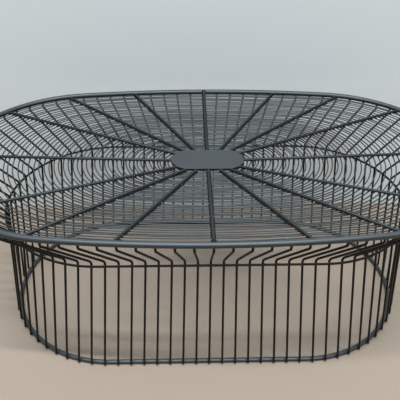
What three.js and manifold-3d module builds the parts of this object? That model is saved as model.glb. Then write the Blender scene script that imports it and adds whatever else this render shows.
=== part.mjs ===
// Oval wire coffee table: a dished top of rings and spokes in a heavy rim, on a waisted skirt of wires.
// Millimetres, +Z up, the floor at z = 0, the long axis along X and the front towards -Y.

import * as THREE from 'three';
import { mergeVertices } from 'three/addons/utils/BufferGeometryUtils.js';
import Module from 'manifold-3d';

// Clearance between pieces that are welded on the real table
const weldGap = 0.3;

// Rim rod
const rimHalfLength = 544;
const rimHalfWidth = 294;
const rimSideRadius = 2350;
const rimHeight = 384;
const rimRadius = 6;

// Centre plate
const plateHalfLength = 77;
const plateHalfWidth = 37;
const plateThickness = 6;
const plateDrop = 13.5;

// Spokes
const spokeRadius = 3;
const spokeQuarterShares = [0.25, 0.48, 0.7];
const crossSpokeRise = 6.5;
const crossSpokeRamp = 12;
const crossSpokeRest = 5;

// Top rings
const ringRadius = 1.1;
const ringClearance = 0.55;
const ringCount = 47;
const ringStride = 2;
const innerPitchShare = 0.8;

// Base ring, set in from the rim
const baseEndInset = 92;
const baseSideInset = 55;
const baseRadius = 5;

// Waist ring, set in from the rim, round the outside of the skirt wires
const waistEndInset = 104;
const waistSideInset = 74;
const waistHeight = 268;
const waistRadius = 2.5;

// Skirt wires
const wireCount = 84;
const wireRadius = 2.4;
const wireDrop = 9;
const wireFootHeight = 5;
const wireBendRadius = 15;
const wireBendRise = 8;
const waistWeldDepth = 0.8;
const waistGatherShare = 0.47;
const panelCount = 12;

// Facets
const rodSides = 8;
const spokeSides = 6;
const wireSides = 4;
const waistStepsPerWire = 2;

// Straight pieces in a quarter of an outline, along its side and round its end
const rimSteps = { side: 4, end: 14 };
const baseSteps = { side: 1, end: 16 };
const ringSteps = { side: 2, end: 6 };
const plateSteps = { side: 1, end: 8 };

const wasm = await Module();
wasm.setup();

const paint = new THREE.MeshStandardMaterial({ color: 0x25282b, roughness: 0.45, metalness: 0.2 });
const plateBottom = rimHeight - plateDrop - plateThickness;
const plateTop = plateBottom + plateThickness;
const spokeInnerHeight = plateTop - spokeRadius;
const wireTop = rimHeight - rimRadius - weldGap;
const baseEndRadius = rimHalfWidth - baseSideInset;
const baseHalfStraight = rimHalfLength - baseEndInset - baseEndRadius;
const waistEndRadius = rimHalfWidth - waistSideInset;
const waistHalfStraight = rimHalfLength - waistEndInset - waistEndRadius;
const up = new THREE.Vector3(0, 0, 1);

// Closed outlines. Each gives the point and outward normal at a share of its length,
// counted from the front centre towards the right end.

function outline({ endCentre, endRadius, sideLength, sidePoint }) {
  const sideAngle = sidePoint(sideLength).angle;
  const quarter = sideLength + endRadius * (Math.PI / 2 - sideAngle);
  function quarterPoint(length) {
    if (length <= sideLength) {
      return sidePoint(length);
    }
    const angle = sideAngle + (length - sideLength) / endRadius;
    return { x: endCentre + endRadius * Math.sin(angle), y: endRadius * Math.cos(angle), angle };
  }
  return {
    quarter,
    // How far a straight piece of the round end lies inside the curve
    endSag(steps) {
      return endRadius * (1 - Math.cos((Math.PI / 2 - sideAngle) / (2 * steps.end)));
    },
    // The shares at which straight pieces meet
    corners(steps) {
      const sideShare = sideLength / quarter;
      const first = [];
      for (let i = 0; i < steps.side; i += 1) {
        first.push(sideShare * i / steps.side);
      }
      for (let i = 0; i <= steps.end; i += 1) {
        first.push(THREE.MathUtils.lerp(sideShare, 1, i / steps.end));
      }
      const second = first.slice(1, -1).reverse().map((share) => 2 - share);
      const half = [...first, ...second];
      return [...half, ...half.map((share) => share + 2)].map((share) => share / 4);
    },
    at(share) {
      const turns = 4 * (share - Math.floor(share));
      const index = Math.floor(turns);
      const along = turns - index;
      const { x, y, angle } = quarterPoint(quarter * (index % 2 ? 1 - along : along));
      const xSign = index < 2 ? 1 : -1;
      const ySign = index === 0 || index === 3 ? -1 : 1;
      return {
        point: new THREE.Vector2(xSign * x, ySign * y),
        normal: new THREE.Vector2(xSign * Math.sin(angle), ySign * Math.cos(angle)),
      };
    },
  };
}

// An oval of four arcs, with long sides of the rim's proportions
function oval(halfLength, halfWidth) {
  const sideRadius = rimSideRadius * halfLength / rimHalfLength;
  const squares = halfLength ** 2 + halfWidth ** 2;
  const endRadius = (2 * sideRadius * halfWidth - squares) / (2 * (sideRadius - halfLength));
  const endCentre = halfLength - endRadius;
  const sideAngle = Math.asin(endCentre / (sideRadius - endRadius));
  return outline({
    endCentre,
    endRadius,
    sideLength: sideRadius * sideAngle,
    sidePoint(length) {
      const angle = length / sideRadius;
      return { x: sideRadius * Math.sin(angle), y: halfWidth - sideRadius * (1 - Math.cos(angle)), angle };
    },
  });
}

// Straight sides with half-round ends
function stadium(halfStraight, endRadius) {
  return outline({
    endCentre: halfStraight,
    endRadius,
    sideLength: halfStraight,
    sidePoint: (length) => ({ x: length, y: endRadius, angle: 0 }),
  });
}

// A point beside an outline, out along its normal
function beside({ point, normal }, reach, height) {
  return new THREE.Vector3(point.x + normal.x * reach, point.y + normal.y * reach, height);
}

// A rod with mitred corners. Its first section has a flat on each side of the line along the side vector.
function rod(points, side, radius, sides, closed) {
  const count = points.length;
  const headings = points.map((point, i) => points[(i + 1) % count].clone().sub(point).normalize());
  const across = side.clone().cross(headings[0]).normalize();
  const flat = headings[0].clone().cross(across);
  const corner = radius / Math.cos(Math.PI / sides);
  let section = [];
  for (let j = 0; j < sides; j += 1) {
    const angle = 2 * Math.PI * (j + 1 / 2) / sides;
    section.push(points[0].clone()
      .addScaledVector(across, corner * Math.cos(angle))
      .addScaledVector(flat, corner * Math.sin(angle)));
  }
  const positions = [];
  const indices = [];
  points.forEach((point, i) => {
    const before = headings[closed ? (i + count - 1) % count : Math.max(i - 1, 0)];
    const after = headings[closed ? i : Math.min(i, count - 2)];
    const mitre = before.clone().add(after).normalize();
    const along = i === 0 ? after : before;
    section = section.map((vertex) => {
      const distance = point.clone().sub(vertex).dot(mitre) / along.dot(mitre);
      return vertex.addScaledVector(along, distance);
    });
    section.forEach(({ x, y, z }) => positions.push(x, y, z));
  });
  const loops = closed ? count : count - 1;
  for (let i = 0; i < loops; i += 1) {
    const here = i * sides;
    const next = ((i + 1) % count) * sides;
    for (let j = 0; j < sides; j += 1) {
      const k = (j + 1) % sides;
      indices.push(here + j, here + k, next + k, here + j, next + k, next + j);
    }
  }
  if (!closed) {
    const last = (count - 1) * sides;
    for (let j = 1; j < sides - 1; j += 1) {
      indices.push(0, j + 1, j, last, last + j, last + j + 1);
    }
  }
  const geometry = new THREE.BufferGeometry();
  geometry.setAttribute('position', new THREE.Float32BufferAttribute(positions, 3));
  geometry.setIndex(indices);
  return geometry;
}

function hoop(shape, height, radius, sides, steps) {
  const points = shape.corners(steps).map((share) => {
    const { x, y } = shape.at(share).point;
    return new THREE.Vector3(x, y, height);
  });
  return rod(points, up, radius, sides, true);
}

function toSolid(geometry) {
  const bare = geometry.clone();
  bare.deleteAttribute('normal');
  bare.deleteAttribute('uv');
  const merged = mergeVertices(bare);
  return new wasm.Manifold(new wasm.Mesh({
    numProp: 3,
    vertProperties: new Float32Array(merged.attributes.position.array),
    triVerts: new Uint32Array(merged.index.array),
  }));
}

function toGeometry(solid) {
  const mesh = solid.getMesh();
  const geometry = new THREE.BufferGeometry();
  geometry.setAttribute('position', new THREE.Float32BufferAttribute(mesh.vertProperties, 3));
  geometry.setIndex(Array.from(mesh.triVerts));
  return geometry;
}

const table = new THREE.Group();

function addPiece(name, geometry) {
  geometry.computeVertexNormals();
  const mesh = new THREE.Mesh(geometry, paint);
  mesh.name = name;
  table.add(mesh);
}

function numbered(name, number) {
  return `${name}_${String(number).padStart(2, '0')}`;
}

const rimShape = oval(rimHalfLength, rimHalfWidth);
const plateShape = stadium(plateHalfLength - plateHalfWidth, plateHalfWidth);
const baseShape = stadium(baseHalfStraight, baseEndRadius);
const waistShape = stadium(waistHalfStraight, waistEndRadius);

// Centre plate
function centrePlate() {
  const points = plateShape.corners(plateSteps).map((share) => plateShape.at(share).point);
  const geometry = new THREE.ExtrudeGeometry(new THREE.Shape(points), {
    depth: plateThickness,
    bevelEnabled: false,
  });
  return geometry.translate(0, 0, plateBottom);
}

// A spoke's ends keep clear of the plate's and the rim's sides by the slant at which it meets them
function spokeSlant(direction, normal) {
  const cosine = direction.dot(normal);
  return spokeRadius / Math.cos(Math.PI / spokeSides) * Math.sqrt(1 - Math.min(cosine ** 2, 1)) / cosine;
}

function spoke(share, overRim) {
  const inner = plateShape.at(share);
  const outer = rimShape.at(share);
  const direction = outer.point.clone().sub(inner.point).normalize();
  const start = inner.point.clone()
    .addScaledVector(direction, weldGap + spokeSlant(direction, inner.normal));
  const rimReach = rimRadius + rimShape.endSag(rimSteps) + weldGap;
  const rimClear = rimReach / direction.dot(outer.normal) + spokeSlant(direction, outer.normal);
  const end = outer.point.clone().addScaledVector(direction, -rimClear);
  const across = new THREE.Vector3(direction.y, -direction.x, 0);
  const points = [
    new THREE.Vector3(start.x, start.y, spokeInnerHeight),
    new THREE.Vector3(end.x, end.y, rimHeight),
  ];
  if (overRim) {
    const ramp = points[1].clone().lerp(points[0], crossSpokeRamp / points[0].distanceTo(points[1]));
    const seat = rimRadius * Math.SQRT2 - (crossSpokeRise - spokeRadius) + weldGap * Math.SQRT2;
    const tip = outer.point.clone().addScaledVector(direction, -seat);
    const rest = tip.clone().addScaledVector(direction, -crossSpokeRest);
    const level = [rest, tip].map(({ x, y }) => new THREE.Vector3(x, y, rimHeight + crossSpokeRise));
    points.splice(1, 1, ramp, ...level);
  }
  return rod(points, across, spokeRadius, spokeSides, false);
}

function quarterSpokeShares() {
  const shares = [];
  for (let quarter = 0; quarter < 4; quarter += 1) {
    const mirrored = spokeQuarterShares.map((share) => 1 - share).reverse();
    const inQuarter = quarter % 2 ? mirrored : spokeQuarterShares;
    [0, ...inQuarter].forEach((share) => shares.push((quarter + share) / 4));
  }
  return shares;
}

// A top ring lies just under the spokes, at the share of the way from the plate to the rim
function topRing(number) {
  const place = number / (ringCount + 1);
  const spread = place * (innerPitchShare + (1 - innerPitchShare) * place);
  const shape = oval(
    THREE.MathUtils.lerp(plateHalfLength, rimHalfLength - rimRadius, spread),
    THREE.MathUtils.lerp(plateHalfWidth, rimHalfWidth - rimRadius, spread),
  );
  const spokeHeight = THREE.MathUtils.lerp(spokeInnerHeight, rimHeight, spread);
  const height = spokeHeight - spokeRadius - ringRadius - ringClearance;
  return hoop(shape, height, ringRadius, wireSides, ringSteps);
}

// The share of the waist ring's length at which a wire crosses it. The wires stand closer together
// on its long sides than round its ends.
function waistPlace(share) {
  return share - waistGatherShare * Math.sin(4 * Math.PI * share) / wireCount;
}

// Each skirt wire stands beside the base ring, leans in to the inner side of the waist ring, bends above
// it and slants out to the rim, where it ends upright
function skirtWire(share) {
  const rim = rimShape.at(share).point;
  const base = baseShape.at(share);
  const seatHeight = baseRadius * (1 + Math.tan(Math.PI / rodSides));
  const seat = beside(base, baseRadius + weldGap + wireRadius, seatHeight);
  const waistReach = waistRadius + wireRadius - waistWeldDepth;
  const waist = beside(waistShape.at(waistPlace(share)), -waistReach, waistHeight);
  const atHeight = (height) => seat.clone().lerp(waist, (height - seatHeight) / (waistHeight - seatHeight));
  const foot = atHeight(wireFootHeight);
  const knee = atHeight(waistHeight + wireBendRise);
  const top = new THREE.Vector3(rim.x, rim.y, wireTop);
  const shoulder = top.clone().addScaledVector(up, -wireDrop);
  const kneeUp = shoulder.clone().sub(knee).normalize();
  const kneeDown = foot.clone().sub(knee).normalize();
  const cut = wireBendRadius / Math.tan(kneeUp.angleTo(kneeDown) / 2);
  const towardsCentre = kneeUp.clone().add(kneeDown).normalize();
  const bendMiddle = knee.clone()
    .addScaledVector(towardsCentre, Math.hypot(cut, wireBendRadius) - wireBendRadius);
  const points = [
    foot,
    knee.clone().addScaledVector(kneeDown, cut),
    bendMiddle,
    knee.clone().addScaledVector(kneeUp, cut),
    shoulder,
    top,
  ];
  return rod(points, new THREE.Vector3(-base.normal.y, base.normal.x, 0), wireRadius, wireSides, false);
}

function waistStretch(from, to, steps) {
  const halfGap = weldGap / 2 / (4 * waistShape.quarter);
  const points = [];
  for (let i = 0; i <= steps; i += 1) {
    const { point } = waistShape.at(THREE.MathUtils.lerp(from + halfGap, to - halfGap, i / steps));
    points.push(new THREE.Vector3(point.x, point.y, waistHeight));
  }
  return rod(points, up, waistRadius, wireSides, false);
}

// The middle of the waist ring between one wire and the next
function waistJoint(index) {
  return (waistPlace(index / wireCount) + waistPlace((index + 1) / wireCount)) / 2;
}

function skirtPanel(panel) {
  const first = Math.round(panel * wireCount / panelCount);
  const last = Math.round((panel + 1) * wireCount / panelCount) - 1;
  const steps = waistStepsPerWire * (last - first + 1);
  let solid = toSolid(waistStretch(waistJoint(first - 1), waistJoint(last), steps));
  for (let i = first; i <= last; i += 1) {
    solid = solid.add(toSolid(skirtWire(i / wireCount)));
  }
  return toGeometry(solid);
}

addPiece('centre_plate', centrePlate());
addPiece('rim_rod', hoop(rimShape, rimHeight, rimRadius, rodSides, rimSteps));
addPiece('base_ring', hoop(baseShape, baseRadius, baseRadius, rodSides, baseSteps));
quarterSpokeShares().forEach((share, i) => {
  const overRim = share === 0 || share === 1 / 2;
  addPiece(numbered('spoke', i + 1), spoke(share, overRim));
});
for (let number = 1; number <= ringCount; number += ringStride) {
  addPiece(numbered('top_ring', number), topRing(number));
}
for (let panel = 0; panel < panelCount; panel += 1) {
  addPiece(numbered('skirt_panel', panel + 1), skirtPanel(panel));
}

export default table;
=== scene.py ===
# %% [markdown]
# # A long oval coffee table of welded black wire
# The real table is made on a bench from round steel bar and wire. Two heavy hoops and one light one give
# it its shape, sixteen spokes hold a flat plate in the middle of the top, 49 thin rings lie under the
# spokes, and 84 bent wires run from the rim to the base. Everything is welded and then powder coated.
#
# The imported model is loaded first. It is the fixed frame: sizes and places come from it, and every piece
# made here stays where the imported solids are.

# %% Load the frame
import math
import random

import bmesh
import bpy
from mathutils import Matrix, Vector


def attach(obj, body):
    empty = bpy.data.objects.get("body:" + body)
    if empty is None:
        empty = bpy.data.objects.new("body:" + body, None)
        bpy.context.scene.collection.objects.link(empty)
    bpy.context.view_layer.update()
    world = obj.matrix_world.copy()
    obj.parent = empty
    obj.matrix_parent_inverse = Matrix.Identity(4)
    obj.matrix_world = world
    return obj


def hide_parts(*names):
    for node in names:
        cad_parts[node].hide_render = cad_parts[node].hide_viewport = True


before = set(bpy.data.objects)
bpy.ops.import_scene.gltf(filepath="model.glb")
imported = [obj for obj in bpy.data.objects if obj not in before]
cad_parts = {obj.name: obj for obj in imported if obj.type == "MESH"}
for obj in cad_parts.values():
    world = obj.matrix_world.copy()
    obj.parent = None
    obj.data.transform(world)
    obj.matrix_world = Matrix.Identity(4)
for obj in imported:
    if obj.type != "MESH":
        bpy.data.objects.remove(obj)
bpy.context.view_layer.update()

print("nodes in the frame:", len(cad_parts))

# %% [markdown]
# ## Sizes
# A maker writes the sizes of the job down once. They are in millimetres here, because that is how the bar
# and wire are bought, and one factor turns them into the metres of the scene. Heights are measured from
# the floor, the long axis lies along X and the front faces -Y. The thin ring wire is given with its coat
# on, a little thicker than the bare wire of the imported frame.

# %% Sizes of the table
MM = 0.001

RIM_HALF_LENGTH, RIM_HALF_WIDTH, RIM_SIDE_RADIUS = 544 * MM, 294 * MM, 2350 * MM
RIM_HEIGHT, RIM_RADIUS = 384 * MM, 6 * MM

PLATE_HALF_LENGTH, PLATE_HALF_WIDTH = 77 * MM, 37 * MM
PLATE_TOP, PLATE_THICKNESS = 370.5 * MM, 6 * MM

SPOKE_RADIUS = 3 * MM
SPOKE_SHARES = (0.25, 0.48, 0.7)
SPOKE_INNER_HEIGHT = PLATE_TOP - SPOKE_RADIUS

RING_COUNT, RING_RADIUS, RING_CLEARANCE = 47, 1.25 * MM, 0.4 * MM
INNER_PITCH_SHARE = 0.8

BASE_HALF_LENGTH, BASE_HALF_WIDTH, BASE_RADIUS = 452 * MM, 239 * MM, 5 * MM
WAIST_HALF_LENGTH, WAIST_HALF_WIDTH, WAIST_RADIUS = 440 * MM, 220 * MM, 2.5 * MM
WAIST_HEIGHT = 268 * MM

WIRE_COUNT, WIRE_RADIUS = 84, 2.4 * MM
PANEL_COUNT = 12

# %% [markdown]
# ## A plan of an oval
# Each hoop follows an outline seen from above: two long sides and two round ends. On the rim and the rings
# the long sides are very flat arcs; on the base, the waist and the plate they are straight. An ellipse
# would be easier to write, but bar is bent on rollers to arcs, so arcs are what the hoops are made of. The
# outline also tells where a share of its length lies, which is how the wires are spaced evenly.

# %% The outline of a hoop
UP = Vector((0, 0, 1))


class Outline:
    """Two long sides and two round ends. With no side radius the sides are straight."""

    def __init__(self, half_length, half_width, side_radius=0.0):
        self.half_width, self.side_radius = half_width, side_radius
        if side_radius:
            squares = half_length**2 + half_width**2
            self.end_radius = (2 * side_radius * half_width - squares) / (2 * (side_radius - half_length))
            self.end_centre = half_length - self.end_radius
            self.side_angle = math.asin(self.end_centre / (side_radius - self.end_radius))
            self.side_length = side_radius * self.side_angle
        else:
            self.end_radius = half_width
            self.end_centre = self.side_length = half_length - half_width
            self.side_angle = 0.0
        self.quarter = self.side_length + self.end_radius * (math.pi / 2 - self.side_angle)

    def at(self, share):
        """The point and outward normal at a share of the length, from the front centre to the right."""
        turns = 4 * (share % 1)
        index = int(turns)
        along = turns - index
        length = self.quarter * (1 - along if index % 2 else along)
        if length > self.side_length:
            angle = self.side_angle + (length - self.side_length) / self.end_radius
            x = self.end_centre + self.end_radius * math.sin(angle)
            y = self.end_radius * math.cos(angle)
        elif self.side_radius:
            angle = length / self.side_radius
            x = self.side_radius * math.sin(angle)
            y = self.half_width - self.side_radius * (1 - math.cos(angle))
        else:
            angle, x, y = 0.0, length, self.half_width
        across = 1 if index < 2 else -1
        back = -1 if index in (0, 3) else 1
        normal = Vector((across * math.sin(angle), back * math.cos(angle), 0))
        return Vector((across * x, back * y, 0)), normal

    def beside(self, point):
        """How far a point lies outside the outline, less than zero inside it, and the normal there."""
        x, y = abs(point.x), abs(point.y)
        if math.atan2(x - self.end_centre, y) > self.side_angle:
            reach, radius = Vector((x - self.end_centre, y, 0)), self.end_radius
        elif self.side_radius:
            reach, radius = Vector((x, y - self.half_width + self.side_radius, 0)), self.side_radius
        else:
            reach, radius = Vector((0, y, 0)), self.half_width
        normal = Vector((math.copysign(reach.x, point.x), math.copysign(reach.y, point.y), 0)).normalized()
        return reach.length - radius, normal


def oval(half_length, half_width):
    """An oval with long sides of the rim's proportions."""
    return Outline(half_length, half_width, RIM_SIDE_RADIUS * half_length / RIM_HALF_LENGTH)


rim_outline = oval(RIM_HALF_LENGTH, RIM_HALF_WIDTH)
plate_outline = Outline(PLATE_HALF_LENGTH, PLATE_HALF_WIDTH)
base_outline = Outline(BASE_HALF_LENGTH, BASE_HALF_WIDTH)
waist_outline = Outline(WAIST_HALF_LENGTH, WAIST_HALF_WIDTH)
print(f"rim: ends of radius {rim_outline.end_radius / MM:.0f} mm, "
      f"length of bar {4 * rim_outline.quarter:.3f} m")

# %% [markdown]
# ## A bending bench in code
# Bar is shaped by two moves only: feed it straight on, or bend it round a former. The same two moves work
# on a mesh. The bar starts as a circle of vertices, `extrude_edge_only` feeds it, and `spin` bends it.
# A curve with a bevel would give similar tubes, but a bar made this way has clean rows of faces, exact
# bend radii and ends that can be capped and rounded like sawn steel.

# %% Feeding and bending a bar
CHORD_SAG, SEAM_REACH = 0.15 * MM, 0.01 * MM


def arc_steps(radius, angle):
    """Enough steps for an arc to stay within the chord sag."""
    return max(2, math.ceil(abs(angle) / (2 * math.acos(1 - CHORD_SAG / radius))))


class Bar:
    """A round bar in a mesh, fed forward and bent, as on a bench."""

    def __init__(self, mesh, tip, heading, radius, sides):
        self.mesh, self.tip, self.heading = mesh, Vector(tip), Vector(heading).normalized()
        facing = self.heading.to_track_quat("Z", "Y").to_matrix().to_4x4()
        made = bmesh.ops.create_circle(mesh, segments=sides, radius=radius,
                                       matrix=Matrix.Translation(self.tip) @ facing)
        self.start = self.end = list({edge for vert in made["verts"] for edge in vert.link_edges})

    def feed(self, length):
        """Pushes the bar straight on."""
        made = bmesh.ops.extrude_edge_only(self.mesh, edges=self.end)["geom"]
        verts = [item for item in made if isinstance(item, bmesh.types.BMVert)]
        self.end = [item for item in made if isinstance(item, bmesh.types.BMEdge) and item.is_boundary]
        bmesh.ops.translate(self.mesh, verts=verts, vec=self.heading * length)
        self.tip = self.tip + self.heading * length

    def arc(self, centre, axis, angle):
        """Bends the bar round a centre."""
        verts = list({vert for edge in self.end for vert in edge.verts})
        steps = arc_steps((self.tip - centre).length, angle)
        made = bmesh.ops.spin(self.mesh, geom=verts + self.end, cent=centre, axis=axis,
                              angle=angle, steps=steps, use_merge=False, use_duplicate=False)
        self.end = [item for item in made["geom_last"] if isinstance(item, bmesh.types.BMEdge)]
        turn = Matrix.Rotation(angle, 3, axis)
        self.tip = centre + turn @ (self.tip - centre)
        self.heading = turn @ self.heading

    def bend(self, heading, radius):
        """Bends the bar to a new heading, with a radius at its middle line."""
        axis = self.heading.cross(heading).normalized()
        self.arc(self.tip + axis.cross(self.heading) * radius, axis, self.heading.angle(heading))

    def cap(self, edges, rounding):
        """Closes an end with a flat face and rounds its edge."""
        face = bmesh.ops.contextual_create(self.mesh, geom=edges)["faces"][0]
        bmesh.ops.bevel(self.mesh, geom=list(face.edges), offset=rounding, offset_type="OFFSET", segments=2,
                        profile=0.5, affect="EDGES", material=-1)

    def cap_both(self, rounding):
        """Closes the two ends."""
        self.cap(self.start, rounding)
        self.cap(self.end, rounding)


def bent_bar(mesh, corners, bend_radii, radius, sides, rounding):
    """A bar along a line of corners, each inner corner bent to its radius."""
    legs = [b - a for a, b in zip(corners, corners[1:])]
    bar = Bar(mesh, corners[0], legs[0], radius, sides)
    used = 0.0
    for leg, next_leg, bend_radius in zip(legs, legs[1:], bend_radii):
        cut = bend_radius * math.tan(leg.angle(next_leg) / 2)
        bar.feed(leg.length - used - cut)
        bar.bend(next_leg.normalized(), bend_radius)
        used = cut
    bar.feed(legs[-1].length - used)
    bar.cap_both(rounding)


def closed_hoop(mesh, outline, height, radius, sides):
    """A bar bent once round an outline and welded to its own start."""
    start = Vector((0, -outline.half_width, height))
    bar = Bar(mesh, start, (1, 0, 0), radius, sides)
    front = Vector((0, outline.side_radius - outline.half_width, height))
    rear = Vector((0, -front.y, height))
    right, left = Vector((outline.end_centre, 0, height)), Vector((-outline.end_centre, 0, height))

    def side(centre, share):
        """Follows a long side, or a half of one."""
        if outline.side_radius:
            bar.arc(centre, UP, share * outline.side_angle)
        else:
            bar.feed(share * outline.side_length)

    side(front, 1)
    bar.arc(right, UP, math.pi - 2 * outline.side_angle)
    side(rear, 2)
    bar.arc(left, UP, math.pi - 2 * outline.side_angle)
    side(front, 1)
    print(f"  hoop closes to {(bar.tip - start).length / MM:.4f} mm")
    bmesh.ops.remove_doubles(mesh, verts=mesh.verts, dist=SEAM_REACH)


# %% [markdown]
# ## The camera and the stage
# The camera stands a little left, about a metre in front of the table's middle and a metre above the floor,
# and looks down at 37 degrees. Its place came from lining the hoops up with the picture. The stage is a
# plain pale floor and a plain pale wall close behind the table. The wall is clear from its rear side, so
# the table can be looked at from behind as well. A long narrow softbox almost overhead draws the shadow of
# the skirt on the floor, and a wide one in front lights the bars that face it. A faint light from all round
# keeps the shadows open.

# %% Camera
scene = bpy.context.scene
scene.view_settings.view_transform = "Standard"

CAMERA_PLACE = Vector((-0.0475, -1.0248, 1.0223))
CAMERA_PITCH, CAMERA_YAW, CAMERA_ROLL = 0.6382, 0.0311, 0.0096
SENSOR_WIDTH, LENS = 36.0, 51.25

forward = Vector((math.sin(CAMERA_YAW) * math.cos(CAMERA_PITCH),
                  math.cos(CAMERA_YAW) * math.cos(CAMERA_PITCH), -math.sin(CAMERA_PITCH)))
level = Vector((math.cos(CAMERA_YAW), -math.sin(CAMERA_YAW), 0))
upright = level.cross(forward)
right = math.cos(CAMERA_ROLL) * level + math.sin(CAMERA_ROLL) * upright
above = right.cross(forward)
camera = bpy.data.objects.new("camera", bpy.data.cameras.new("camera"))
camera.data.sensor_width, camera.data.lens = SENSOR_WIDTH, LENS
turned = Matrix((right, above, -forward)).transposed().to_4x4()
camera.matrix_world = Matrix.Translation(CAMERA_PLACE) @ turned
scene.collection.objects.link(camera)
scene.camera = camera

# %% [markdown]
# ## Light and materials as node trees
# In Blender the world, the stage and every finish are trees of nodes. They could be clicked together, but
# in a script one small helper that adds a node and joins its inputs by name keeps each tree short enough
# to read. In the world, Light Path tells the rays apart: those of the camera and those that are mirrored
# or refracted see a pale backdrop, and all others see the faint light that falls on the table.

# %% A helper for node trees
def node(tree, kind, links=None, **values):
    """A new node with its inputs linked or set by name."""
    made = tree.nodes.new(kind)
    for name, value in values.items():
        setattr(made, name, value)
    for name, value in (links or {}).items():
        if isinstance(value, bpy.types.NodeSocket):
            tree.links.new(value, made.inputs[name])
        else:
            made.inputs[name].default_value = value
    return made


# %% Lights
BACKDROP = (0.54, 0.59, 0.605, 1)
AMBIENT = (0.92, 0.97, 1.0, 1)
AMBIENT_STRENGTH = 0.12
SOFTBOXES = {  # place, length, width and power
    "key_light": (Vector((-0.1, -0.80, 3.3)), 2.4, 0.12, 84.0),
    "fill_light": (Vector((0.5, -2.6, 2.7)), 2.6, 1.0, 32.0),
}

world = bpy.data.worlds.new("studio")
scene.world = world
world.use_nodes = True
tree = world.node_tree
tree.nodes.clear()
ambient = node(tree, "ShaderNodeBackground", {"Color": AMBIENT, "Strength": AMBIENT_STRENGTH})
backdrop = node(tree, "ShaderNodeBackground", {"Color": BACKDROP})
rays = node(tree, "ShaderNodeLightPath").outputs
seen = node(tree, "ShaderNodeMath", {0: rays["Is Camera Ray"], 1: rays["Is Glossy Ray"]},
            operation="MAXIMUM")
seen = node(tree, "ShaderNodeMath", {0: seen.outputs[0], 1: rays["Is Transmission Ray"]},
            operation="MAXIMUM")
mixed = node(tree, "ShaderNodeMixShader",
             {0: seen.outputs[0], 1: ambient.outputs[0], 2: backdrop.outputs[0]})
node(tree, "ShaderNodeOutputWorld", {"Surface": mixed.outputs[0]})

for name, (place, length, width, power) in SOFTBOXES.items():
    box = bpy.data.objects.new(name, bpy.data.lights.new(name, "AREA"))
    box.data.shape, box.data.energy = "RECTANGLE", power
    box.data.size, box.data.size_y = length, width
    aim = (Vector((0, 0, RIM_HEIGHT)) - place).to_track_quat("-Z", "Y")
    box.matrix_world = Matrix.Translation(place) @ aim.to_matrix().to_4x4()
    scene.collection.objects.link(box)

# %% Floor and wall
FLOOR_COLOUR = (0.475, 0.40, 0.33, 1)
FLOOR_ROUGHNESS = 0.85
WALL_COLOUR, WALL_GLOW = (0.66, 0.73, 0.76, 1), 0.2
FLOOR_HALF, WALL_HEIGHT, WALL_BACK = 8.0, 3.0, 330 * MM


def new_material(name):
    """A material and its node tree."""
    material = bpy.data.materials.new(name)
    material.use_nodes = True
    return material, material.node_tree


def stage_sheet(name, matrix, half_x, half_y, material):
    """One flat sheet of the stage, which isn't a piece of the table."""
    mesh = bmesh.new()
    bmesh.ops.create_grid(mesh, x_segments=1, y_segments=1, size=1,
                          matrix=matrix @ Matrix.Diagonal((half_x, half_y, 1, 1)))
    data = bpy.data.meshes.new(name)
    mesh.to_mesh(data)
    mesh.free()
    data.materials.append(material)
    sheet = bpy.data.objects.new(name, data)
    scene.collection.objects.link(sheet)


floor_material, tree = new_material("pale_floor")
shader = tree.nodes["Principled BSDF"]
shader.inputs["Base Color"].default_value = FLOOR_COLOUR
shader.inputs["Roughness"].default_value = FLOOR_ROUGHNESS
stage_sheet("floor", Matrix.Identity(4), FLOOR_HALF, FLOOR_HALF, floor_material)

wall_material, tree = new_material("pale_wall")
tree.nodes.remove(tree.nodes["Principled BSDF"])
plaster = node(tree, "ShaderNodeBsdfDiffuse", {"Color": WALL_COLOUR})
glow = node(tree, "ShaderNodeEmission", {"Color": BACKDROP, "Strength": WALL_GLOW})
lit = node(tree, "ShaderNodeAddShader", {0: plaster.outputs[0], 1: glow.outputs[0]})
clear = node(tree, "ShaderNodeBsdfTransparent")
behind = node(tree, "ShaderNodeNewGeometry").outputs["Backfacing"]
one_sided = node(tree, "ShaderNodeMixShader", {0: behind, 1: lit.outputs[0], 2: clear.outputs[0]})
tree.links.new(one_sided.outputs[0], tree.nodes["Material Output"].inputs["Surface"])
standing = Matrix.Translation((0, WALL_BACK, WALL_HEIGHT / 2)) @ Matrix.Rotation(math.pi / 2, 4, "X")
stage_sheet("wall", standing, FLOOR_HALF, WALL_HEIGHT / 2, wall_material)

# %% [markdown]
# ## Powder coat
# Every part of the table wears the same finish: a black powder coat, half gloss, with the fine orange peel
# that powder leaves when it melts. It is a dielectric over steel, so Metallic stays at zero. What changes
# over the surface is small: the peel, a faint cloudiness, and a thin bluish grey layer on the faces that
# look up, which is partly dust and partly a painted sheen of the light from above. One node group makes
# all three, and each material gives it its own values.

# %% The powder coat group
PEEL_DETAIL, PEEL_HEIGHT = 1.0, 0.2 * MM
CLOUD_SCALE, CLOUD_DETAIL = 22.0, 4.0
CLOUD_RANGE = {"From Min": 0.3, "From Max": 0.7}
DUST_AND_SHEEN_SLOPES = {"From Min": 0.15, "From Max": 0.95}
DUST_AND_SHEEN_THIN, DUST_AND_SHEEN_FULL = 0.85, 1.0
GLOSS_SWING = 0.04
COLOUR_A, COLOUR_B, COLOUR_OUT = 6, 7, 2

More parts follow.
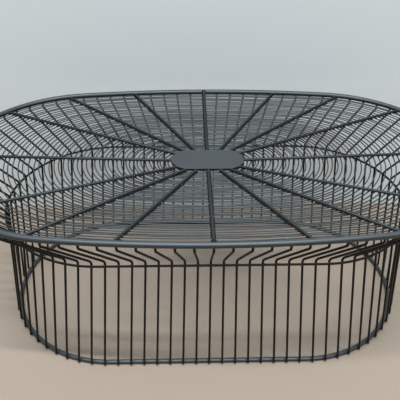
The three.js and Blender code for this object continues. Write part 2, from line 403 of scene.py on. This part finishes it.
powder = bpy.data.node_groups.new("powder_coat", "ShaderNodeTree")
# The second and third inputs make the grey layer on upward faces: partly dust, partly painted sheen.
for label, kind, default in (("Paint", "Color", (0.02, 0.02, 0.02, 1)),
                             ("Film", "Color", (0.1, 0.11, 0.12, 1)),
                             ("Film Amount", "Float", 0.6),
                             ("Roughness", "Float", 0.42),
                             ("Peel Scale", "Float", 700.0),
                             ("Peel Depth", "Float", 0.15)):
    socket = powder.interface.new_socket(label, in_out="INPUT", socket_type=f"NodeSocket{kind}")
    socket.default_value = default
for label, kind in (("Color", "Color"), ("Roughness", "Float"), ("Normal", "Vector")):
    powder.interface.new_socket(label, in_out="OUTPUT", socket_type=f"NodeSocket{kind}")

inputs = node(powder, "NodeGroupInput").outputs
place = node(powder, "ShaderNodeTexCoord").outputs["Object"]
peel = node(powder, "ShaderNodeTexNoise",
            {"Vector": place, "Scale": inputs["Peel Scale"], "Detail": PEEL_DETAIL}).outputs["Fac"]
cloud = node(powder, "ShaderNodeTexNoise",
             {"Vector": place, "Scale": CLOUD_SCALE, "Detail": CLOUD_DETAIL}).outputs["Fac"]
# The grey layer grows on faces that look up: partly dust, partly a painted sheen of the light from above.
normal = node(powder, "ShaderNodeSeparateXYZ", {0: node(powder, "ShaderNodeNewGeometry").outputs["Normal"]})
upward = node(powder, "ShaderNodeMapRange", {"Value": normal.outputs["Z"], **DUST_AND_SHEEN_SLOPES},
              interpolation_type="SMOOTHSTEP")
patchy = node(powder, "ShaderNodeMapRange",
              {"Value": cloud, **CLOUD_RANGE, "To Min": DUST_AND_SHEEN_THIN, "To Max": DUST_AND_SHEEN_FULL})
sheen_and_dust_share = node(powder, "ShaderNodeMath", {0: upward.outputs["Result"], 1: patchy.outputs["Result"]},
            operation="MULTIPLY")
sheen_and_dust_share = node(powder, "ShaderNodeMath", {0: sheen_and_dust_share.outputs[0], 1: inputs["Film Amount"]}, operation="MULTIPLY")
colour = node(powder, "ShaderNodeMix",
              {"Factor": sheen_and_dust_share.outputs[0], COLOUR_A: inputs["Paint"], COLOUR_B: inputs["Film"]},
              data_type="RGBA")
gloss = node(powder, "ShaderNodeMapRange",
             {"Value": cloud, **CLOUD_RANGE, "To Min": -GLOSS_SWING, "To Max": GLOSS_SWING})
gloss = node(powder, "ShaderNodeMath", {0: gloss.outputs["Result"], 1: inputs["Roughness"]}, operation="ADD")
bump = node(powder, "ShaderNodeBump",
            {"Height": peel, "Strength": inputs["Peel Depth"], "Distance": PEEL_HEIGHT})
node(powder, "NodeGroupOutput", {"Color": colour.outputs[COLOUR_OUT], "Roughness": gloss.outputs[0],
                                 "Normal": bump.outputs["Normal"]})


def powder_coated(name, shine, **values):
    """A material of the powder coat with its own values."""
    material, tree = new_material(name)
    coat = tree.nodes.new("ShaderNodeGroup")
    coat.node_tree = powder
    for label, value in values.items():
        coat.inputs[label.replace("_", " ")].default_value = value
    shader = tree.nodes["Principled BSDF"]
    tree.links.new(coat.outputs["Color"], shader.inputs["Base Color"])
    tree.links.new(coat.outputs["Roughness"], shader.inputs["Roughness"])
    tree.links.new(coat.outputs["Normal"], shader.inputs["Normal"])
    shader.inputs["Specular IOR Level"].default_value = shine
    shader.inputs["Specular Tint"].default_value = SHEEN
    return material


# %% [markdown]
# ## One coat, six looks
# The same powder looks different on each kind of bar, so each has a material with its own values. The fine
# rings shine most, and the rim and the base, rubbed by hands and feet, nearly as much; their tops also carry
# much of the grey layer, a painted sheen of the light from above. The skirt wires hardly shine, so they look
# almost black, and their paint is warmed by a painted reflection of the floor. The flat plate carries the
# most of the grey layer, partly dust and partly a painted reflection of the pale surroundings, and the weld
# beads have the coarsest peel. One black for everything would be simpler, but then the top and the skirt
# would look alike.

# %% The coat on each kind of bar
PAINT = (0.007, 0.0075, 0.008, 1)
# The skirt wires' paint is lighter and warmer than the rest: a painted reflection of the warm floor.
PAINT_WITH_FLOOR_REFLECTION = (0.013, 0.0095, 0.007, 1)
# Bluish grey of the layer on upward faces: partly dust, partly a painted sheen of the light from above.
DUST_AND_PAINTED_SHEEN = (0.095, 0.112, 0.125, 1)
SHEEN = (0.82, 0.95, 1.0, 1)
# The amount of grey layer on each coat is partly dust and partly painted sheen; the plate, rim and base take
# the most.
coat_on_hoop = powder_coated("powder_coat_on_hoop", shine=0.85, Paint=PAINT, Film=DUST_AND_PAINTED_SHEEN,
                             Film_Amount=0.45, Roughness=0.42)
coat_on_rod = powder_coated("powder_coat_on_rod", shine=0.45, Paint=PAINT, Film=DUST_AND_PAINTED_SHEEN, Film_Amount=0.15)
coat_on_ring = powder_coated("powder_coat_on_ring", shine=1.0, Paint=PAINT, Film=DUST_AND_PAINTED_SHEEN,
                             Film_Amount=0.1, Peel_Scale=900.0)
coat_on_wire = powder_coated("powder_coat_on_wire", shine=0.15, Paint=PAINT_WITH_FLOOR_REFLECTION, Film=DUST_AND_PAINTED_SHEEN,
                             Film_Amount=0.1, Peel_Scale=900.0)
coat_on_plate = powder_coated("powder_coat_on_plate", shine=0.5, Paint=PAINT, Film=DUST_AND_PAINTED_SHEEN,
                              Film_Amount=0.55, Roughness=0.48, Peel_Scale=500.0)
coat_on_weld = powder_coated("powder_coat_on_weld", shine=0.4, Paint=PAINT, Film=DUST_AND_PAINTED_SHEEN,
                             Film_Amount=0.1, Peel_Scale=450.0, Peel_Depth=0.5)


# %% [markdown]
# ## From a mesh to a piece
# Each bar is drawn as a loose mesh first. To become a piece of the table, it gets outward normals, smooth
# shading on its round sides, its coat, and a place on the table's one body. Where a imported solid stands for
# the same bar, the piece takes that solid's place.

# %% Turning a mesh into a piece of the table
def piece(mesh, name, material, stands_for=()):
    """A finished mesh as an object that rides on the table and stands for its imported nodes."""
    bmesh.ops.recalc_face_normals(mesh, faces=mesh.faces)
    for face in mesh.faces:
        face.smooth = len(face.verts) <= 4  # sawn ends and the plate's two faces stay flat
    data = bpy.data.meshes.new(name)
    mesh.to_mesh(data)
    mesh.free()
    data.materials.append(material)
    made = bpy.data.objects.new(name, data)
    scene.collection.objects.link(made)
    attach(made, "root")
    if stands_for:
        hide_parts(*stands_for)


# %% [markdown]
# ## The rim, the base and the waist
# Three hoops carry the shape: the heavy rim, the base that stands on the floor, and a light hoop round the
# skirt at its waist. Each is one bar bent round its outline, so each is one call of the bench.

# %% The three hoops
ROD_SIDES, HOOP_WIRE_SIDES = 20, 12

mesh = bmesh.new()
closed_hoop(mesh, rim_outline, RIM_HEIGHT, RIM_RADIUS, ROD_SIDES)
piece(mesh, "rim_bar", coat_on_hoop, ["rim_rod"])

mesh = bmesh.new()
closed_hoop(mesh, base_outline, BASE_RADIUS, BASE_RADIUS, ROD_SIDES)
piece(mesh, "base_bar", coat_on_hoop, ["base_ring"])

mesh = bmesh.new()
closed_hoop(mesh, waist_outline, WAIST_HEIGHT, WAIST_RADIUS, HOOP_WIRE_SIDES)
piece(mesh, "waist_wire", coat_on_wire)

# %% [markdown]
# ## The centre plate
# The plate is cut from 6 mm sheet, so its outline is drawn first, filled, and extruded to its thickness. A
# vertex spun half a turn draws each round end, and two long edges join the ends. Deburring rounds the
# plate's edges a little, which a bevel does here, and that thin rounded edge catches the light all round.

# %% Cutting the plate
PLATE_EDGE_ROUNDING = 0.7 * MM

mesh = bmesh.new()
bottom = PLATE_TOP - PLATE_THICKNESS
ends = []
for side in (1, -1):
    centre = Vector((side * plate_outline.end_centre, 0, bottom))
    first = bmesh.ops.create_vert(mesh, co=centre - Vector((0, side * PLATE_HALF_WIDTH, 0)))["vert"]
    steps = 2 * arc_steps(PLATE_HALF_WIDTH, math.pi)
    made = bmesh.ops.spin(mesh, geom=first, cent=centre, axis=UP, angle=math.pi, steps=steps,
                          use_merge=False, use_duplicate=False)
    last = [item for item in made["geom_last"] if isinstance(item, bmesh.types.BMVert)]
    ends.append((first, last))
for (first, _), (_, last) in zip(ends, reversed(ends)):
    bmesh.ops.contextual_create(mesh, geom=first + last)
bmesh.ops.remove_doubles(mesh, verts=mesh.verts, dist=SEAM_REACH)
sheet = bmesh.ops.contextual_create(mesh, geom=list(mesh.edges))["faces"]
made = bmesh.ops.extrude_face_region(mesh, geom=sheet, use_keep_orig=True)["geom"]
bmesh.ops.translate(mesh, verts=[item for item in made if isinstance(item, bmesh.types.BMVert)],
                    vec=(0, 0, PLATE_THICKNESS))
corners = [edge for edge in mesh.edges if len(edge.link_faces) == 2
           and any(len(face.verts) > 4 for face in edge.link_faces)]
bmesh.ops.bevel(mesh, geom=corners, offset=PLATE_EDGE_ROUNDING, offset_type="OFFSET", segments=3,
                profile=0.5, affect="EDGES", material=-1)
print("plate faces:", len(mesh.faces))
piece(mesh, "plate_sheet", coat_on_plate, ["centre_plate"])

# %% [markdown]
# ## The spokes
# Sixteen bars run out from the plate's edge to the rim. They rise a little, because the rim lies higher than
# the plate, and that is what makes the top a shallow dish. The two spokes at the front and rear centres ramp
# up at their outer ends and are welded on top of the rim, so they need two small bends.

# %% Sixteen spokes
SPOKE_SIDES, SPOKE_END_ROUNDING = 14, 0.6 * MM
WELD_SINK = 0.8 * MM
RAMP_RISE, RAMP_LENGTH, RAMP_REST, RAMP_BEND = 6.5 * MM, 12 * MM, 5 * MM, 8 * MM
TIP_BACK = RIM_RADIUS * math.sqrt(2) - RAMP_RISE + SPOKE_RADIUS
FRONT_AND_REAR = (0, 0.5)

spoke_places = []
for quarter in range(4):
    shares = [1 - share for share in reversed(SPOKE_SHARES)] if quarter % 2 else SPOKE_SHARES
    spoke_places += [(quarter + share) / 4 for share in (0, *shares)]

spoke_lines = []
for number, share in enumerate(spoke_places, 1):
    inner = plate_outline.at(share)[0]
    outer, outer_normal = rim_outline.at(share)
    along = (outer - inner).normalized()
    start = inner - along * WELD_SINK + UP * SPOKE_INNER_HEIGHT
    reach = (RIM_RADIUS - WELD_SINK) / along.dot(outer_normal)
    end = outer - along * reach + UP * RIM_HEIGHT
    spoke_lines.append((inner + UP * SPOKE_INNER_HEIGHT, outer - along * RIM_RADIUS + UP * RIM_HEIGHT))
    line, bends = [start, end], []
    if share in FRONT_AND_REAR:
        top = UP * (RIM_HEIGHT + RAMP_RISE)
        tip = outer - along * TIP_BACK
        rest = tip - along * RAMP_REST
        ramp = end.lerp(start, RAMP_LENGTH / (end - start).length)
        line, bends = [start, ramp, rest + top, tip + top], [RAMP_BEND, RAMP_BEND]
    mesh = bmesh.new()
    bent_bar(mesh, line, bends, SPOKE_RADIUS, SPOKE_SIDES, SPOKE_END_ROUNDING)
    piece(mesh, f"spoke_bar_{number:02d}", coat_on_rod, [f"spoke_{number:02d}"])
print("spokes:", len(spoke_lines))

# %% [markdown]
# ## The top rings
# The top is closed by 47 thin wire rings under the spokes. Each is an oval part of the way from the plate
# to the rim, and the gaps grow a little towards the rim. One more ring lies under the plate's edge and one
# against the rim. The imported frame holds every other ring, and the rings between those are made here too,
# so that the top is as fine as the real one.
#
# Thin wire never comes off the rollers quite true, and the real gaps open and close by a third from place
# to place. So each ring is a touch too large or too small, and slow waves run round it. The waves come
# from a seeded source of luck, so the table looks the same each time it is made.

# %% Forty-nine rings
RING_SIDES = 8
SIZE_SLIP, WAVE_OUT, WAVE_UP = 0.8 * MM, 0.55 * MM, 0.3 * MM
WAVE_COUNTS = (2, 3, 5, 7)
LUCK_SEED = 5
EDGE_RING_INSET = 0.5 * MM
RIM_RING_INSET = RIM_RADIUS + RING_RADIUS + RING_CLEARANCE

luck = random.Random(LUCK_SEED)


class TopRing:
    """An oval wire at a share of the way from the plate to the rim, a little out of true."""

    def __init__(self, half_length, half_width, shape=oval):
        spread = (half_width - PLATE_HALF_WIDTH) / (RIM_HALF_WIDTH - RIM_RADIUS - PLATE_HALF_WIDTH)
        slip = luck.uniform(-SIZE_SLIP, SIZE_SLIP)
        self.outline = shape(half_length + slip, half_width + slip)
        self.stretch = half_length / half_width
        spoke_height = SPOKE_INNER_HEIGHT + (RIM_HEIGHT - SPOKE_INNER_HEIGHT) * max(0.0, spread)
        self.height = spoke_height - SPOKE_RADIUS - RING_RADIUS - RING_CLEARANCE
        self.waves = [(count, luck.uniform(0, 2 * math.pi), luck.uniform(0, 2 * math.pi))
                      for count in WAVE_COUNTS]

    def shift(self, point):
        """How the wire is off its line at a place."""
        bearing = math.atan2(point.y * self.stretch, point.x)
        out = sum(math.sin(count * bearing + turn) for count, turn, _ in self.waves)
        lift = sum(math.sin(count * bearing + turn) for count, _, turn in self.waves)
        return self.outline.beside(point)[1] * out * WAVE_OUT + UP * (lift - 1) * WAVE_UP


def evenly_spread(number):
    """A top ring counted from the plate."""
    place = number / (RING_COUNT + 1)
    spread = place * (INNER_PITCH_SHARE + (1 - INNER_PITCH_SHARE) * place)
    return TopRing(PLATE_HALF_LENGTH + (RIM_HALF_LENGTH - RIM_RADIUS - PLATE_HALF_LENGTH) * spread,
                   PLATE_HALF_WIDTH + (RIM_HALF_WIDTH - RIM_RADIUS - PLATE_HALF_WIDTH) * spread)


rings = [TopRing(PLATE_HALF_LENGTH - EDGE_RING_INSET, PLATE_HALF_WIDTH - EDGE_RING_INSET, Outline),
         *(evenly_spread(number) for number in range(1, RING_COUNT + 1)),
         TopRing(RIM_HALF_LENGTH - RIM_RING_INSET, RIM_HALF_WIDTH - RIM_RING_INSET)]
for number, ring in enumerate(rings):
    mesh = bmesh.new()
    closed_hoop(mesh, ring.outline, ring.height, RING_RADIUS, RING_SIDES)
    for vert in mesh.verts:
        vert.co += ring.shift(vert.co)
    node_name = f"top_ring_{number:02d}"
    piece(mesh, f"ring_wire_{number:02d}", coat_on_ring,
          [node_name] if node_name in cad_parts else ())

# %% [markdown]
# ## The skirt
# Each of the 84 skirt wires starts under the rim with a short upright end, slants in and bends just above
# the waist. It lies against the inner side of the waist hoop and runs down to the outside of the base, where
# it is cut off at the middle of the bar. Its places on the rim and on the base are the same share of their
# outlines. At the waist the wires stand a little closer together on the long sides, so each one leans a bit
# to the side as well. Two bends are enough for that, each with its own axis. Seven wires together stand for
# one packed panel.

# %% Eighty-four wires
WIRE_SIDES, WIRE_END_ROUNDING = 10, 0.5 * MM
WIRE_TOP, WIRE_DROP = RIM_HEIGHT - RIM_RADIUS, 9 * MM
WIRE_FOOT, KNEE_HEIGHT = 5 * MM, WAIST_HEIGHT + 8 * MM
SHOULDER_BEND, KNEE_BEND = 5 * MM, 15 * MM
SEAT_HEIGHT = BASE_RADIUS * (1 + math.tan(math.pi / 8))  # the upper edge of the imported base's outer face
SEAT_REACH = BASE_RADIUS + WIRE_RADIUS
WAIST_REACH = WAIST_RADIUS + WIRE_RADIUS - WELD_SINK
GATHER_SHARE = 0.47


def waist_place(share):
    """The share of the waist's length at which a wire crosses it."""
    return share - GATHER_SHARE * math.sin(4 * math.pi * share) / WIRE_COUNT


def skirt_corners(share):
    """The four corners of a skirt wire, from the rim down to the base."""
    top = rim_outline.at(share)[0] + UP * WIRE_TOP
    base, base_normal = base_outline.at(share)
    waist, waist_normal = waist_outline.at(waist_place(share))
    seat = base + base_normal * SEAT_REACH + UP * SEAT_HEIGHT
    crossing_waist = waist - waist_normal * WAIST_REACH + UP * WAIST_HEIGHT
    rise = (crossing_waist - seat) / (WAIST_HEIGHT - SEAT_HEIGHT)
    knee, foot = (seat + rise * (height - SEAT_HEIGHT) for height in (KNEE_HEIGHT, WIRE_FOOT))
    return [top, top - UP * WIRE_DROP, knee, foot]


wires = [skirt_corners(index / WIRE_COUNT) for index in range(WIRE_COUNT)]
wires_per_panel = WIRE_COUNT // PANEL_COUNT
for panel in range(PANEL_COUNT):
    mesh = bmesh.new()
    for corners in wires[panel * wires_per_panel:(panel + 1) * wires_per_panel]:
        bent_bar(mesh, corners, [SHOULDER_BEND, KNEE_BEND], WIRE_RADIUS, WIRE_SIDES, WIRE_END_ROUNDING)
    piece(mesh, f"skirt_wires_{panel + 1:02d}", coat_on_wire, [f"skirt_panel_{panel + 1:02d}"])
print("skirt wires:", len(wires))

# %% [markdown]
# ## The welds
# Every crossing is welded, and under powder coat a small weld is a soft bead. Beads are so small and so many
# that a coarse ball with smooth shading is enough: drawn out along the wire where a ring meets a spoke, and
# rounder where a wire meets a hoop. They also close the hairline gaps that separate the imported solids.

# %% Beads at the crossings
FINE_BALL, COARSE_BALL = 2, 1
RING_BEAD = (5.8 * MM, 2.4 * MM, 2.5 * MM, COARSE_BALL)
PLATE_BEAD = (4.2 * MM, 2.4 * MM, 1.6 * MM, FINE_BALL)
RIM_BEAD = (5.5 * MM, 3.2 * MM, 2.2 * MM, FINE_BALL)
WIRE_TOP_BEAD = (4 * MM, 2 * MM, 3.2 * MM, FINE_BALL)
WAIST_BEAD = (3.6 * MM, 2.6 * MM, 1.8 * MM, FINE_BALL)
BASE_BEAD = (3.4 * MM, 3 * MM, 1.4 * MM, FINE_BALL)
TIP_BEAD_IN, TIP_BEAD_UP = 0.2 * RIM_RADIUS, 0.7 * RIM_RADIUS
BASE_BEAD_OUT = 0.2 * MM
HALVINGS = 40


def bead(mesh, place, along, half_length, half_height, half_width, fineness):
    """A ball drawn out along a direction, with its height along Z as far as it can be."""
    along = along.normalized()
    side = UP.cross(along).normalized() if along.cross(UP).length > MM else Vector((1, 0, 0))
    axes = Matrix((along, side, along.cross(side))).transposed().to_4x4()
    bmesh.ops.create_icosphere(mesh, subdivisions=fineness, radius=1,
                               matrix=Matrix.Translation(place) @ axes
                               @ Matrix.Diagonal((half_length, half_width, half_height, 1)))


def crossing(line, outline):
    """Where a spoke passes over a ring, found by halving the line."""
    low, high = 0.0, 1.0
    for _ in range(HALVINGS):
        middle = (low + high) / 2
        inside = outline.beside(line[0].lerp(line[1], middle))[0] < 0
        low, high = (middle, high) if inside else (low, middle)
    return line[0].lerp(line[1], low)


mesh = bmesh.new()
for line in spoke_lines:
    for ring in rings[1:]:
        point = crossing(line, ring.outline)
        normal = ring.outline.beside(point)[1]
        contact = Vector((point.x, point.y, (ring.height + RING_RADIUS + point.z - SPOKE_RADIUS) / 2))
        bead(mesh, contact + ring.shift(point), UP.cross(normal), *RING_BEAD)
print("ring welds:", len(spoke_lines) * len(rings[1:]), "faces:", len(mesh.faces))
piece(mesh, "ring_welds", coat_on_weld)

mesh = bmesh.new()
for share, line in zip(spoke_places, spoke_lines):
    inner_normal = plate_outline.at(share)[1]
    outer, outer_normal = rim_outline.at(share)
    bead(mesh, line[0], UP.cross(inner_normal), *PLATE_BEAD)
    on_rim = outer - outer_normal * RIM_RADIUS + UP * RIM_HEIGHT
    if share in FRONT_AND_REAR:
        on_rim = outer - outer_normal * (TIP_BACK + TIP_BEAD_IN) + UP * (RIM_HEIGHT + TIP_BEAD_UP)
    bead(mesh, on_rim, UP.cross(outer_normal), *RIM_BEAD)
piece(mesh, "spoke_welds", coat_on_weld)

mesh = bmesh.new()
for index, corners in enumerate(wires):
    share = index / WIRE_COUNT
    rim_normal = rim_outline.at(share)[1]
    base, base_normal = base_outline.at(share)
    waist, waist_normal = waist_outline.at(waist_place(share))
    bead(mesh, corners[0], UP.cross(rim_normal), *WIRE_TOP_BEAD)
    bead(mesh, waist - waist_normal * WAIST_RADIUS + UP * WAIST_HEIGHT, UP.cross(waist_normal),
         *WAIST_BEAD)
    bead(mesh, base + base_normal * (BASE_RADIUS + BASE_BEAD_OUT) + UP * BASE_RADIUS,
         UP.cross(base_normal), *BASE_BEAD)
print("skirt welds:", 3 * len(wires), "faces:", len(mesh.faces))
piece(mesh, "skirt_welds", coat_on_weld)
